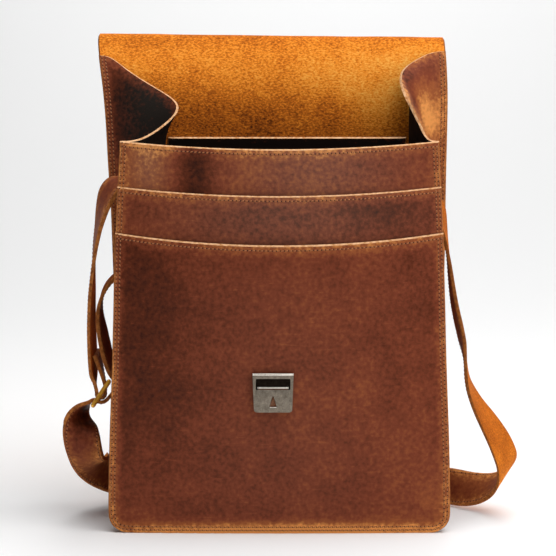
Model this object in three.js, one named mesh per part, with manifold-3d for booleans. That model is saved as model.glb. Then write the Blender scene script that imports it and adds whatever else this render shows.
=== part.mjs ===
// Leather satchel standing on a floor, open, with its flap thrown back over the top ridge.
// Millimetres, +Z up, front towards -Y. The pieces are laid out about the middle of the bag's bottom,
// and the whole is then set so that the origin is the bottom centre of everything that it holds.
import * as THREE from 'three';
import { mergeVertices } from 'three/addons/utils/BufferGeometryUtils.js';
import Module from 'manifold-3d';

// Leather and seams
const PANEL_HIDE = 2;
const GUSSET_HIDE = 1.8;
const STRAP_HIDE = 3;
const STRAP_WIDTH = 34;
const CLEARANCE = 0.4;
const FLANGE = 10;
const CORNER_RADIUS = 16;

// Heights of the tiers at their side seams, and how far each cut edge dips in the middle
const FRONT_TOP = 341;
const MIDDLE_TOP = 302;
const POCKET_TOP = 262.5;
const FRONT_DIP = 6.5;
const MIDDLE_DIP = 7;
const POCKET_DIP = 9;
const POCKET_GAPE = 3.2;
const GAPE_FROM = 170;

// Gusset up to its back corners, back panel up to the ridge, then the flap behind it
const GUSSET_LEFT_TOP = 415.6;
const GUSSET_RIGHT_TOP = 419.4;
const BACK_TOP = 427;
const RIDGE_RADIUS = 12;
const RIDGE_SLANT = 1.8;
const RIDGE_LEAN = THREE.MathUtils.degToRad(30);
const LEAN_FROM = 325;
const FLAP_HANG = 302;
const FLAP_CORNER = 24;

// Front wall by height: half width, seam line, and bulge at the middle
const FRONT_WALL = [
  { height: 0, half: 150, seam: -48, bow: 3 },
  { height: 70, half: 148.5, seam: -48, bow: 11 },
  { height: 150, half: 145.2, seam: -46, bow: 13 },
  { height: 260, half: 142, seam: -41, bow: 16 },
  { height: 345, half: 138, seam: -33, bow: 15 },
];

// Soft dents in the upper front wall
const FRONT_DENTS = [
  { across: -76, height: 330, reach: 9, drop: 26, depth: 3.2 },
  { across: -94, height: 330, reach: 9, drop: 24, depth: -1.6 },
  { across: 58, height: 335, reach: 26, drop: 22, depth: 1.6 },
];

// Back wall by height: half width, middle line, seam line, and bulge at the middle. Its top leans backwards
const BACK_WALL = [
  { height: 0, half: 150, middle: 0, seam: 48, bow: 2 },
  { height: 150, half: 150.5, middle: 0, seam: 47, bow: 5 },
  { height: 250, half: 151.5, middle: 0, seam: 45.5, bow: 5 },
  { height: 310, half: 153.5, middle: -2, seam: 44, bow: 4 },
  { height: 350, half: 154.6, middle: -2.3, seam: 44.5, bow: 3 },
  { height: 385, half: 156.2, middle: -3.6, seam: 48, bow: 1.5 },
  { height: 408, half: 157.6, middle: -5.6, seam: 55, bow: 0.5 },
  { height: 427, half: 158.6, middle: -7.2, seam: 65.5, bow: 0 },
];

// Flap by distance past the start of the ridge: half width, middle line, and how far it swings outwards
const FLAP_WALL = [
  { past: 0, half: 158.6, middle: -7.2, sway: 0 },
  { past: 38, half: 158, middle: -7.2, sway: 0 },
  { past: 120, half: 155, middle: -4, sway: -5 },
  { past: 340, half: 151, middle: -1, sway: -14 },
];

// Inward fold of each gusset by share of its height: depth of the crest and its place from back to front
const LEFT_FOLD = [
  { share: 0, depth: 0, at: 0.5 },
  { share: 0.2, depth: 6, at: 0.5 },
  { share: 0.45, depth: 17, at: 0.49 },
  { share: 0.7, depth: 30, at: 0.48 },
  { share: 0.9, depth: 39, at: 0.47 },
  { share: 0.95, depth: 42, at: 0.47 },
  { share: 1, depth: 53, at: 0.47 },
];
const RIGHT_FOLD = [
  { share: 0, depth: 0, at: 0.5 },
  { share: 0.2, depth: 5, at: 0.5 },
  { share: 0.45, depth: 13, at: 0.47 },
  { share: 0.7, depth: 22, at: 0.44 },
  { share: 0.9, depth: 22.5, at: 0.38 },
  { share: 0.97, depth: 22, at: 0.34 },
  { share: 1, depth: 29.5, at: 0.32 },
];
const LEFT_CREST = 0.22;
const RIGHT_CREST = 0.34;

// Sag of each gusset's top edge below a straight line between its sewn corners, and where it starts
const LEFT_SAG = 9;
const RIGHT_SAG = -4.5;
const SAG_FROM = 0.6;

// Divider between the gusset folds
const DIVIDER_TOP = 343;
const DIVIDER_DEPTH = 6;
const DIVIDER_EASE = 2.2;
const DIVIDER_FOOT = [{ rise: 0, tuck: 8 }, { rise: 3, tuck: 3 }, { rise: 8, tuck: 0 }];

// Tuck lock on the front pocket
const LOCK_ACROSS = -5.4;
const LOCK_HEIGHT = 126.4;
const LOCK_TOP_WIDTH = 35.5;
const LOCK_FOOT_WIDTH = 33;
const LOCK_TALL = 34;
const LOCK_FACE = 1.2;
const LOCK_CAVITY = 2;
const LOCK_BACK = 0.6;
const LOCK_RIM = 1.3;
const LOCK_CORNER = 2.6;
const SLOT_WIDTH = 29.5;
const SLOT_TALL = 9.5;
const SLOT_BELOW_TOP = 4.7;
const SLOT_CORNER = 2;
const SLOT_TAB = 5.5;
const SLOT_TAB_DROP = 2.8;
const WINDOW_BASE = 7;
const WINDOW_TALL = 10.6;
const WINDOW_BELOW_TOP = 19;
const SLIDE_WIDTH = 25.5;
const SLIDE_THICK = 1.3;
const SLIDE_BELOW_TOP = 12;
const SLIDE_TALL = 18;
const SLIDE_CORNER = 1.5;
const BUTTON_BASE = 4;
const BUTTON_TALL = 6.2;
const BUTTON_PROUD = 0.5;
const TONGUE_PLATE = { width: 33, tall: 13 };
const TONGUE_TAB = { width: 24, tall: 12 };
const TONGUE_THICK = 1.6;
const TONGUE_CORNER = 3;

// Slide buckle on the left strap, its middle and its own directions
const BUCKLE_MIDDLE = new THREE.Vector3(-160, 0, 113.5);
const BUCKLE_ALONG = new THREE.Vector3(0.54, 0.21, 0.8);
const BUCKLE_ACROSS = new THREE.Vector3(0.1, -0.97, 0.19);
const BUCKLE_BAR = 2;
const BUCKLE_REACH = 12.5;
const BUCKLE_HALF_WIDTH = 20.5;
const BUCKLE_DROP = { along: 4.5, out: -9.5 };
const BUCKLE_RETURN = { along: 8, out: -1 };

// Routes of the straps: middle line, and the direction from one edge of the strap to the other
const SHORT_STRAP_DROP = [
  { x: -129.4, y: 20, z: 252, ax: 0.7, ay: -0.71, az: 0 },
  { x: -127.6, y: 20, z: 270, ax: 0.7, ay: -0.71, az: 0 },
  { x: -126.8, y: 19.6, z: 286, ax: 0.7, ay: -0.71, az: 0 },
  { x: -128.4, y: 17.4, z: 298, ax: 0.7, ay: -0.71, az: 0 },
  { x: -134, y: 12, z: 306, ax: 0.7, ay: -0.71, az: 0 },
  { x: -143, y: 5, z: 305, ax: 0.66, ay: -0.75, az: 0 },
  { x: -151.2, y: 0, z: 296, ax: 0.56, ay: -0.83, az: 0 },
  { x: -156, y: -2, z: 283, ax: 0.4, ay: -0.92, az: 0 },
  { x: -160.2, y: -3, z: 264, ax: 0.22, ay: -0.97, az: 0 },
  { x: -163.7, y: -3.5, z: 242, ax: 0.13, ay: -0.99, az: 0 },
  { x: -166.6, y: -3, z: 206, ax: -0.02, ay: -1, az: 0 },
  { x: -167.7, y: -1, z: 174, ax: -0.06, ay: -1, az: 0.02 },
  { x: -167.4, y: 1.5, z: 150, ax: -0.08, ay: -0.99, az: 0.06 },
  { x: -166.6, y: 2, z: 131, ax: -0.06, ay: -0.98, az: 0.14 },
];
const SHORT_STRAP_FOLD = [
  { x: -158.3, y: 2.5, z: 129.5, ax: 0.06, ay: -0.98, az: 0.16 },
  { x: -160.8, y: 2.5, z: 140, ax: 0, ay: -0.98, az: 0.14 },
  { x: -163.6, y: 2, z: 151, ax: -0.06, ay: -0.99, az: 0.08 },
];
const LONG_STRAP_TAIL = [
  { x: -143, y: 4, z: 222, ax: 0.1, ay: -1, az: 0 },
  { x: -152.5, y: 2, z: 213, ax: 0.1, ay: -0.99, az: 0 },
  { x: -158.5, y: 0.5, z: 201, ax: 0.06, ay: -0.99, az: 0 },
  { x: -160.5, y: 0, z: 187, ax: -0.02, ay: -1, az: 0 },
  { x: -158.3, y: 0.5, z: 171, ax: -0.12, ay: -0.99, az: 0.02 },
  { x: -154.5, y: 1.5, z: 151, ax: -0.16, ay: -0.98, az: 0.08 },
  { x: -150.5, y: 2.5, z: 134, ax: -0.08, ay: -0.98, az: 0.14 },
];
const LONG_STRAP_ROUND = [
  { x: -176.1, y: -4.4, z: 98.8, ax: -0.22, ay: -0.9, az: 0.37 },
  { x: -176.9, y: -9.8, z: 87, ax: -0.86, ay: -0.46, az: 0.2 },
  { x: -175.8, y: -14.9, z: 71.9, ax: -1, ay: 0.08, az: -0.04 },
  { x: -173.4, y: -6.2, z: 55.6, ax: -0.98, ay: 0.18, az: -0.06 },
  { x: -170.1, y: 9.3, z: 46.5, ax: -0.92, ay: 0, az: -0.39 },
  { x: -167.4, y: 25.6, z: 40.5, ax: -0.64, ay: -0.16, az: -0.75 },
  { x: -162.5, y: 41.6, z: 33.4, ax: -0.3, ay: -0.31, az: -0.9 },
  { x: -152.7, y: 55.7, z: 25.8, ax: -0.08, ay: -0.43, az: -0.9 },
  { x: -135.9, y: 64.6, z: 20.9, ax: 0, ay: -0.48, az: -0.88 },
  { x: -107.6, y: 70.2, z: 18.2, ax: -0.01, ay: -0.23, az: -0.97 },
  { x: -80, y: 72.8, z: 17.4, ax: 0, ay: 0, az: -1 },
  { x: -50, y: 75, z: 17.2, ax: 0, ay: 0, az: -1 },
  { x: 20, y: 73, z: 17.2, ax: 0, ay: 0, az: -1 },
  { x: 60, y: 69.5, z: 17.2, ax: 0, ay: 0, az: -1 },
  { x: 102.8, y: 62.9, z: 18.3, ax: 0.02, ay: 0.1, az: -0.99 },
  { x: 135.5, y: 57.2, z: 18.3, ax: 0.02, ay: 0.07, az: -1 },
  { x: 155.8, y: 49.4, z: 17.8, ax: -0.05, ay: -0.13, az: -0.99 },
  { x: 173.8, y: 39.2, z: 17.7, ax: -0.19, ay: -0.49, az: -0.85 },
  { x: 190.7, y: 27.5, z: 21.5, ax: -0.35, ay: -0.7, az: -0.63 },
  { x: 202.1, y: 12.7, z: 32.3, ax: -0.47, ay: -0.73, az: -0.5 },
  { x: 205.3, y: 0, z: 48.9, ax: -0.56, ay: -0.72, az: -0.42 },
  { x: 198.2, y: -5.7, z: 68.5, ax: -0.5, ay: -0.78, az: -0.37 },
  { x: 187.7, y: -7.5, z: 87.4, ax: -0.4, ay: -0.87, az: -0.28 },
  { x: 176.5, y: -7.7, z: 105.8, ax: -0.27, ay: -0.95, az: -0.14 },
  { x: 168, y: -7.9, z: 125.7, ax: -0.14, ay: -0.99, az: -0.04 },
  { x: 165.5, y: -7.5, z: 147, ax: -0.08, ay: -1, az: 0 },
  { x: 163, y: -6, z: 162, ax: 0.06, ay: -1, az: 0 },
  { x: 159.5, y: -4.5, z: 178, ax: 0.08, ay: -1, az: 0 },
  { x: 156, y: -3, z: 194.5, ax: 0.05, ay: -1, az: 0 },
  { x: 153.2, y: -0.5, z: 214.5, ax: 0, ay: -1, az: 0 },
  { x: 151, y: 3, z: 234, ax: -0.06, ay: -1, az: 0 },
  { x: 147.5, y: 5, z: 256, ax: -0.14, ay: -0.99, az: 0 },
  { x: 143.5, y: 8, z: 272, ax: -0.3, ay: -0.95, az: 0 },
  { x: 139.5, y: 11.5, z: 281, ax: -0.45, ay: -0.89, az: 0 },
  { x: 135, y: 15, z: 285.5, ax: -0.55, ay: -0.83, az: 0 },
  { x: 131, y: 18.2, z: 283, ax: -0.57, ay: -0.82, az: 0 },
  { x: 129.4, y: 19.4, z: 275, ax: -0.57, ay: -0.82, az: 0 },
  { x: 129.6, y: 19.6, z: 264, ax: -0.57, ay: -0.82, az: 0 },
  { x: 131, y: 19.8, z: 250, ax: -0.57, ay: -0.82, az: 0 },
];
const STRAP_STEP = 9;

// Colours of the finishes
const GRAIN = { color: 0x7b4328, roughness: 0.55, metalness: 0 };
const SUEDE = { color: 0xc4752f, roughness: 0.9, metalness: 0 };
const NICKEL = { color: 0x8d8578, roughness: 0.35, metalness: 1 };
const BRASS = { color: 0xc9a24a, roughness: 0.25, metalness: 1 };

const wasm = await Module();
wasm.setup();

// Joins and cuts of closed meshes
function toSolid(geometry) {
  const bare = geometry.clone();
  bare.deleteAttribute('normal');
  bare.deleteAttribute('uv');
  const merged = mergeVertices(bare, 1e-4);
  return new wasm.Manifold(new wasm.Mesh({
    numProp: 3,
    vertProperties: new Float32Array(merged.attributes.position.array),
    triVerts: new Uint32Array(merged.index.array),
  }));
}

function toGeometry(solid) {
  const mesh = solid.getMesh();
  const geometry = new THREE.BufferGeometry();
  geometry.setAttribute('position', new THREE.BufferAttribute(new Float32Array(mesh.vertProperties), 3));
  geometry.setIndex(Array.from(mesh.triVerts));
  return geometry;
}

function joined(...geometries) {
  const solids = geometries.map(toSolid);
  return toGeometry(solids.reduce((whole, next) => whole.add(next)));
}

// Value of a table's column at a place between its rows, on a smooth curve through them
function readTable(table, by, column, at) {
  const last = table.length - 1;
  let row = 0;
  while (row < last - 1 && at > table[row + 1][by]) row += 1;
  const slopeAt = (k) => {
    const before = table[Math.max(k - 1, 0)];
    const after = table[Math.min(k + 1, last)];
    return (after[column] - before[column]) / (after[by] - before[by]);
  };
  const from = table[row];
  const to = table[row + 1];
  const span = to[by] - from[by];
  const t = THREE.MathUtils.clamp((at - from[by]) / span, 0, 1);
  const rise = t * t * (3 - 2 * t);
  const lead = t * (1 - t) * (1 - t) * span * slopeAt(row);
  const trail = t * t * (1 - t) * span * slopeAt(row + 1);
  return from[column] + (to[column] - from[column]) * rise + lead - trail;
}

// Evenly spaced numbers
function spread(from, to, cells) {
  return Array.from({ length: cells + 1 }, (_, k) => from + ((to - from) * k) / cells);
}

// Closed geometry from points and triangles, with its faces turned outwards
function closedGeometry(points, triangles) {
  const volume = triangles.reduce((sum, [a, b, c]) => {
    const normal = new THREE.Vector3().crossVectors(points[b], points[c]);
    return sum + points[a].dot(normal);
  }, 0);
  const turned = volume < 0 ? triangles.map(([a, b, c]) => [a, c, b]) : triangles;
  const geometry = new THREE.BufferGeometry().setFromPoints(points);
  geometry.setIndex(turned.flat());
  return geometry;
}

// Leather wall of even thickness on a grid of middle points, rows by columns
function leatherWall(grid, thickness) {
  const rows = grid.length;
  const columns = grid[0].length;
  const faceNormal = (r, c) => {
    const up = new THREE.Vector3().subVectors(grid[r + 1][c + 1], grid[r][c]);
    const over = new THREE.Vector3().subVectors(grid[r + 1][c], grid[r][c + 1]);
    return up.cross(over).normalize();
  };
  const offsetAt = (r, c) => {
    const around = [];
    for (const fr of [r - 1, r]) {
      for (const fc of [c - 1, c]) {
        if (fr >= 0 && fc >= 0 && fr < rows - 1 && fc < columns - 1) around.push(faceNormal(fr, fc));
      }
    }
    const normal = around.reduce((sum, n) => sum.add(n), new THREE.Vector3()).normalize();
    const squareness = Math.min(...around.map((n) => n.dot(normal)));
    return normal.multiplyScalar(thickness / 2 / Math.max(squareness, 0.6));
  };
  const points = [];
  for (const side of [1, -1]) {
    for (let r = 0; r < rows; r += 1) {
      for (let c = 0; c < columns; c += 1) {
        points.push(grid[r][c].clone().addScaledVector(offsetAt(r, c), side));
      }
    }
  }
  const size = rows * columns;
  const at = (r, c) => r * columns + c;
  const triangles = [];
  for (let r = 0; r < rows - 1; r += 1) {
    for (let c = 0; c < columns - 1; c += 1) {
      const [p, q, s, t] = [at(r, c), at(r, c + 1), at(r + 1, c + 1), at(r + 1, c)];
      triangles.push([p, q, s], [p, s, t]);
      triangles.push([p + size, s + size, q + size], [p + size, t + size, s + size]);
    }
  }
  const rim = [];
  for (let c = 0; c < columns; c += 1) rim.push(at(0, c));
  for (let r = 1; r < rows; r += 1) rim.push(at(r, columns - 1));
  for (let c = columns - 2; c >= 0; c -= 1) rim.push(at(rows - 1, c));
  for (let r = rows - 2; r > 0; r -= 1) rim.push(at(r, 0));
  rim.forEach((p, k) => {
    const q = rim[(k + 1) % rim.length];
    triangles.push([q, p, p + size], [q, p + size, q + size]);
  });
  return closedGeometry(points, triangles);
}

// Inset of a wall's outline where its lower corners are round
function cornerInset(height, radius) {
  if (height >= radius) return 0;
  return radius - Math.sqrt(radius * radius - (radius - height) ** 2);
}

// Heights that follow a round corner and then climb to a top
function wallHeights(top, cells) {
  const corner = spread(0, Math.PI / 2, 4).map((turn) => CORNER_RADIUS * (1 - Math.cos(turn)));
  return [...corner, ...spread(CORNER_RADIUS, top, cells).slice(1)];
}

// Front wall
function frontHalf(height) {
  return readTable(FRONT_WALL, 'height', 'half', height);
}

function frontDepth(x, height) {
  const u = x / frontHalf(height);
  const bow = readTable(FRONT_WALL, 'height', 'bow', height) * (1 - u * u);
  const dents = FRONT_DENTS.reduce((sum, dent) => {
    const across = (x - dent.across) / dent.reach;
    const down = (height - dent.height) / dent.drop;
    return sum + dent.depth * Math.exp(-across * across - down * down);
  }, 0);
  return readTable(FRONT_WALL, 'height', 'seam', height) - bow + dents;
}

// Depth of a tier: 0 is the front panel, 1 the middle pocket and 2 the front pocket
function tierDepth(tier, x, height) {
  const u = x / frontHalf(height);
  const opening = THREE.MathUtils.smoothstep(height, GAPE_FROM, POCKET_TOP);
  const step = PANEL_HIDE + CLEARANCE + POCKET_GAPE * opening * (1 - u * u);
  return frontDepth(x, height) - tier * step;
}

function frontTier(tier, top, dip, cells) {
  const grid = wallHeights(top, cells).map((height) => spread(-1, 1, 18).map((u) => {
    const z = height - dip * (1 - u * u) * THREE.MathUtils.smoothstep(height, CORNER_RADIUS, top);
    const x = u * (frontHalf(z) - cornerInset(height, CORNER_RADIUS));
    return new THREE.Vector3(x, tierDepth(tier, x, z), z);
  }));
  return leatherWall(grid, PANEL_HIDE);
}

// Back wall and flap
const RIDGE_ARC = (Math.PI - RIDGE_LEAN) * RIDGE_RADIUS;
const FLAP_LENGTH = RIDGE_ARC + FLAP_HANG;

function backRow(height) {
  const row = {};
  for (const column of ['half', 'middle', 'seam', 'bow']) {
    row[column] = readTable(BACK_WALL, 'height', column, height);
  }
  return row;
}

function backDepth(x, height) {
  const row = backRow(height);
  const u = (x - row.middle) / row.half;
  return row.seam + row.bow * (1 - u * u);
}

function flapPoint(u, past) {
  const half = readTable(FLAP_WALL, 'past', 'half', past);
  const middle = readTable(FLAP_WALL, 'past', 'middle', past);
  const sway = readTable(FLAP_WALL, 'past', 'sway', past);
  const turn = Math.min(RIDGE_LEAN + past / RIDGE_RADIUS, Math.PI);
  const hang = Math.max(past - RIDGE_ARC, 0);
  const toEnd = FLAP_LENGTH - past;
  const back = RIDGE_RADIUS * (Math.cos(RIDGE_LEAN) - Math.cos(turn));
  const rise = RIDGE_RADIUS * (Math.sin(turn) - Math.sin(RIDGE_LEAN));
  const y = backRow(BACK_TOP).seam + back + sway;
  const z = BACK_TOP + rise - hang - RIDGE_SLANT * u * Math.sin(turn);
  return new THREE.Vector3(middle + u * (half - cornerInset(toEnd, FLAP_CORNER)), y, z);
}

function backAndFlap() {
  const columns = spread(-1, 1, 10);
  const heights = [...wallHeights(LEAN_FROM, 7), ...spread(LEAN_FROM, BACK_TOP, 8).slice(1)];
  const panel = heights.map((height) => columns.map((u) => {
    const row = backRow(height);
    const x = row.middle + u * (row.half - cornerInset(height, CORNER_RADIUS));
    return new THREE.Vector3(x, backDepth(x, height), height);
  }));
  const roundEnd = spread(0, Math.PI / 2, 3).map((turn) => FLAP_LENGTH - FLAP_CORNER * (1 - Math.sin(turn)));
  const hanging = spread(RIDGE_ARC, FLAP_LENGTH - FLAP_CORNER, 7).slice(1);
  const pasts = [...spread(0, RIDGE_ARC, 7).slice(1), ...hanging, ...roundEnd.slice(1)];
  const flap = pasts.map((past) => columns.map((u) => flapPoint(u, past)));
  return leatherWall([...panel, ...flap], PANEL_HIDE);
}

// Gusset: its sewn edges follow the two walls, its flanges lie on them, and its sides fold inwards
function gussetTop(side) {
  return side < 0 ? GUSSET_LEFT_TOP : GUSSET_RIGHT_TOP;
}

function wallEdge(wall, side, share, turn, across) {
  const front = wall === 'front';
  const top = front ? FRONT_TOP : gussetTop(side);
  const halfAt = (z) => (front ? frontHalf(z) : backRow(z).half);
  const middleAt = (z) => (front ? 0 : backRow(z).middle);
  if (across !== null) return { x: across, z: 0, inX: 0, inZ: 1 };
  if (turn > 0) {
    const centre = halfAt(0) - CORNER_RADIUS;
    const [inX, inZ] = [-side * Math.cos(turn), Math.sin(turn)];
    return { x: side * centre - CORNER_RADIUS * inX, z: CORNER_RADIUS * (1 - inZ), inX, inZ };
  }
  const z = CORNER_RADIUS + (top - CORNER_RADIUS) * share;
  return { x: middleAt(z) + side * halfAt(z), z, inX: -side, inZ: 0 };
}

function flangePoint(wall, edge, reach) {
  const x = edge.x + reach * edge.inX;
  const z = edge.z + reach * edge.inZ;
  const lift = PANEL_HIDE / 2 + CLEARANCE + GUSSET_HIDE / 2;
  if (wall === 'front') return new THREE.Vector3(x, frontDepth(x, z) + lift, z);
  const slope = backDepth(x, z) - backDepth(x, z - 1);
  return new THREE.Vector3(x, backDepth(x, z) - lift * Math.hypot(1, slope), z);
}

function foldShare(w, at, crest) {
  const t = w < at ? (at - w) / at : (w - at) / (1 - at);
  const rounded = (value) => Math.sqrt(value * value + crest * crest);
  return (rounded(1) - rounded(t)) / (rounded(1) - rounded(0));
}

function gussetRow(side, share, turn, across) {
  const back = wallEdge('back', side, share, turn, across);
  const front = wallEdge('front', side, share, turn, across);
  const backFold = flangePoint('back', back, FLANGE);
  const frontFold = flangePoint('front', front, FLANGE);
  const table = side < 0 ? LEFT_FOLD : RIGHT_FOLD;
  const crest = side < 0 ? LEFT_CREST : RIGHT_CREST;
  const depth = share > 0 ? readTable(table, 'share', 'depth', share) : 0;
  const at = readTable(table, 'share', 'at', share);
  const sag = (side < 0 ? LEFT_SAG : RIGHT_SAG) * THREE.MathUtils.smoothstep(share, SAG_FROM, 1);
  const wall = spread(0, 1, 11).map((w) => {
    const point = backFold.clone().lerp(frontFold, w);
    point.z -= sag * (1 - (2 * w - 1) ** 4);
    const inward = new THREE.Vector3(back.inX + front.inX, 0, back.inZ + front.inZ).normalize();
    return point.addScaledVector(inward, depth * foldShare(w, at, crest));
  });
  return [flangePoint('back', back, 0), ...wall, flangePoint('front', front, 0)];
}

const SIDE_SHARES = [1, 0.985, 0.97, 0.94, 0.91, 0.88, 0.84, 0.8, 0.7, 0.6, 0.5, 0.4, 0.3, 0.2, 0.1, 0];
const CORNER_TURNS = [Math.PI / 8, Math.PI / 4, (3 * Math.PI) / 8];

function gusset() {
  const left = [
    ...SIDE_SHARES.map((share) => gussetRow(-1, share, 0, null)),
    ...CORNER_TURNS.map((turn) => gussetRow(-1, 0, turn, null)),
  ];
  const right = [
    ...SIDE_SHARES.map((share) => gussetRow(1, share, 0, null)),
    ...CORNER_TURNS.map((turn) => gussetRow(1, 0, turn, null)),
  ].reverse();
  const reach = frontHalf(0) - CORNER_RADIUS;
  const bottom = spread(-reach, reach, 8).map((x) => gussetRow(-1, 0, 0, x));
  return leatherWall([...left, ...bottom, ...right], GUSSET_HIDE);
}

// Divider, from one gusset fold to the other
function foldCrest(side, height) {
  const share = (height - CORNER_RADIUS) / ((FRONT_TOP + gussetTop(side)) / 2 - CORNER_RADIUS);
  const row = gussetRow(side, THREE.MathUtils.clamp(share, 0, 1), 0, null);
  return Math.min(...row.slice(1, -1).map((point) => Math.abs(point.x)));
}

function divider() {
  const foot = FLANGE + GUSSET_HIDE / 2 + CLEARANCE + PANEL_HIDE / 2;
  const roundFoot = DIVIDER_FOOT.map((row) => ({ height: foot + row.rise, tuck: row.tuck }));
  const straight = spread(roundFoot.at(-1).height, DIVIDER_TOP, 10).slice(1);
  const rows = [...roundFoot, ...straight.map((height) => ({ height, tuck: 0 }))];
  const grid = rows.map(({ height, tuck }) => spread(0, 1, 6).map((w) => {
    const left = -foldCrest(-1, height) + DIVIDER_EASE + tuck;
    const right = foldCrest(1, height) - DIVIDER_EASE - tuck;
    return new THREE.Vector3(THREE.MathUtils.lerp(left, right, w), DIVIDER_DEPTH, height);
  }));
  return leatherWall(grid, PANEL_HIDE);
}

// Plate cut from an outline, its face to the front, from its back plane forwards
function frontPlate(shape, thickness, behind) {
  const cut = { depth: thickness, bevelEnabled: false, curveSegments: 4 };
  const geometry = new THREE.ExtrudeGeometry(shape, cut);
  geometry.translate(0, 0, behind);
  return geometry.rotateX(Math.PI / 2);
}

function roundedOutline(Kind, topHalf, footHalf, top, foot, radius) {
  const outline = new Kind();
  outline.moveTo(-topHalf, top);
  outline.lineTo(-footHalf, foot + radius);
  outline.quadraticCurveTo(-footHalf, foot, -footHalf + radius, foot);
  outline.lineTo(footHalf - radius, foot);
  outline.quadraticCurveTo(footHalf, foot, footHalf, foot + radius);
  outline.lineTo(topHalf, top);
  outline.closePath();
  return outline;
}

function triangleOutline(Kind, base, tall, foot) {
  const outline = new Kind();
  outline.moveTo(-base / 2, foot);
  outline.lineTo(base / 2, foot);
  outline.lineTo(0, foot + tall);
  outline.closePath();
  return outline;
}

// Lock slot with round ends and a small tab at the middle of its top
function slotOutline() {
  const half = SLOT_WIDTH / 2;
  const top = LOCK_TALL / 2 - SLOT_BELOW_TOP;
  const foot = top - SLOT_TALL;
  const outline = new THREE.Path();
  outline.moveTo(-SLOT_TAB / 2, top);
  outline.lineTo(-half + SLOT_CORNER, top);
  outline.quadraticCurveTo(-half, top, -half, top - SLOT_CORNER);
  outline.lineTo(-half, foot + SLOT_CORNER);
  outline.quadraticCurveTo(-half, foot, -half + SLOT_CORNER, foot);
  outline.lineTo(half - SLOT_CORNER, foot);
  outline.quadraticCurveTo(half, foot, half, foot + SLOT_CORNER);
  outline.lineTo(half, top - SLOT_CORNER);
  outline.quadraticCurveTo(half, top, half - SLOT_CORNER, top);
  outline.lineTo(SLOT_TAB / 2, top);
  outline.lineTo(SLOT_TAB / 2, top - SLOT_TAB_DROP);
  outline.lineTo(-SLOT_TAB / 2, top - SLOT_TAB_DROP);
  outline.closePath();
  return outline;
}

const WINDOW_FOOT = LOCK_TALL / 2 - WINDOW_BELOW_TOP - WINDOW_TALL;

function lockPlate() {
  const body = (Kind, inset) => roundedOutline(
    Kind,
    LOCK_TOP_WIDTH / 2 - inset,
    LOCK_FOOT_WIDTH / 2 - inset,
    LOCK_TALL / 2 - inset,
    -LOCK_TALL / 2 + inset,
    LOCK_CORNER - inset / 2,
  );
  const face = body(THREE.Shape, 0);
  face.holes.push(slotOutline(), triangleOutline(THREE.Path, WINDOW_BASE, WINDOW_TALL, WINDOW_FOOT));
  const rim = body(THREE.Shape, 0);
  rim.holes.push(body(THREE.Path, LOCK_RIM));
  const faceBehind = LOCK_BACK + LOCK_CAVITY;
  return joined(
    frontPlate(body(THREE.Shape, 0), LOCK_BACK, 0),
    frontPlate(rim, faceBehind + LOCK_FACE / 2, 0),
    frontPlate(face, LOCK_FACE, faceBehind),
  );
}

function lockSlide() {
  const top = LOCK_TALL / 2 - SLIDE_BELOW_TOP;
  const half = SLIDE_WIDTH / 2;
  const plate = roundedOutline(THREE.Shape, half, half, top, top - SLIDE_TALL, SLIDE_CORNER);
  const behind = LOCK_BACK + (LOCK_CAVITY - SLIDE_THICK) / 2;
  const topOfWindow = WINDOW_FOOT + WINDOW_TALL;
  const buttonFoot = topOfWindow - BUTTON_TALL - (WINDOW_BASE - BUTTON_BASE) / 2;
  const button = triangleOutline(THREE.Shape, BUTTON_BASE, BUTTON_TALL, buttonFoot);
  const buttonReach = LOCK_BACK + LOCK_CAVITY + LOCK_FACE + BUTTON_PROUD - behind;
  return joined(frontPlate(plate, SLIDE_THICK, behind), frontPlate(button, buttonReach, behind));
}

// Deepest reach of the front pocket's face behind the lock, where the lock's back lies
function lockSeat() {
  const reaches = spread(-LOCK_TOP_WIDTH / 2, LOCK_TOP_WIDTH / 2, 6).flatMap((dx) => (
    spread(-LOCK_TALL / 2, LOCK_TALL / 2, 6).map((dz) => (
      tierDepth(2, LOCK_ACROSS + dx, LOCK_HEIGHT + dz)))));
  return Math.min(...reaches) - PANEL_HIDE / 2 - CLEARANCE;
}

function lockTongue() {
  const plate = TONGUE_PLATE;
  const tab = TONGUE_TAB;
  const outline = new THREE.Shape();
  outline.moveTo(-plate.width / 2, plate.tall);
  outline.lineTo(-plate.width / 2, 0);
  outline.lineTo(-tab.width / 2, 0);
  outline.lineTo(-tab.width / 2, -tab.tall + TONGUE_CORNER);
  outline.quadraticCurveTo(-tab.width / 2, -tab.tall, -tab.width / 2 + TONGUE_CORNER, -tab.tall);
  outline.lineTo(tab.width / 2 - TONGUE_CORNER, -tab.tall);
  outline.quadraticCurveTo(tab.width / 2, -tab.tall, tab.width / 2, -tab.tall + TONGUE_CORNER);
  outline.lineTo(tab.width / 2, 0);
  outline.lineTo(plate.width / 2, 0);
  outline.lineTo(plate.width / 2, plate.tall);
  outline.closePath();
  return frontPlate(outline, TONGUE_THICK, -TONGUE_THICK);
}

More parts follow.
